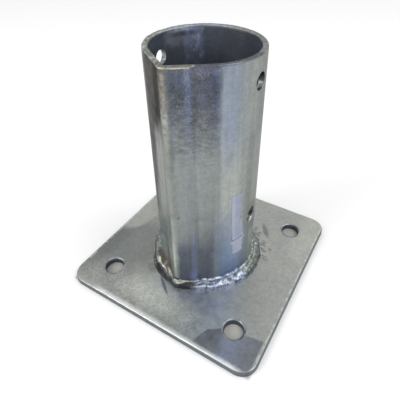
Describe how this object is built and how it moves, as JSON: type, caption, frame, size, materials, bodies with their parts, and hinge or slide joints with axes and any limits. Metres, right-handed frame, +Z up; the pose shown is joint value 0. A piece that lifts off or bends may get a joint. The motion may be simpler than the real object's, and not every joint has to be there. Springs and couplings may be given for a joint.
{
  "type": "post base",
  "caption": "Square steel anchor plate with an upright round socket tube welded to its middle. A nose in the tube wall holds a locking wedge, and cross holes take bolts.",
  "frame": {"origin": "middle of the plate's underside, on the tube's axis", "axes": "+Z up along the tube's axis, plate edges along X and Y, the nose towards -Y, the cross holes along X"},
  "size_m": [0.16, 0.16, 0.185],
  "materials": {
    "galvanised_plate": "satin hot-dip galvanised, mottled",
    "galvanised_tube": "satin hot-dip galvanised, mottled",
    "galvanised_weld": "rough weld bead under zinc"
  },
  "bodies": {
    "root": {"base_plate": "galvanised_plate", "socket_tube": "galvanised_tube", "weld_bead": "galvanised_weld"}
  },
  "joints": []
}
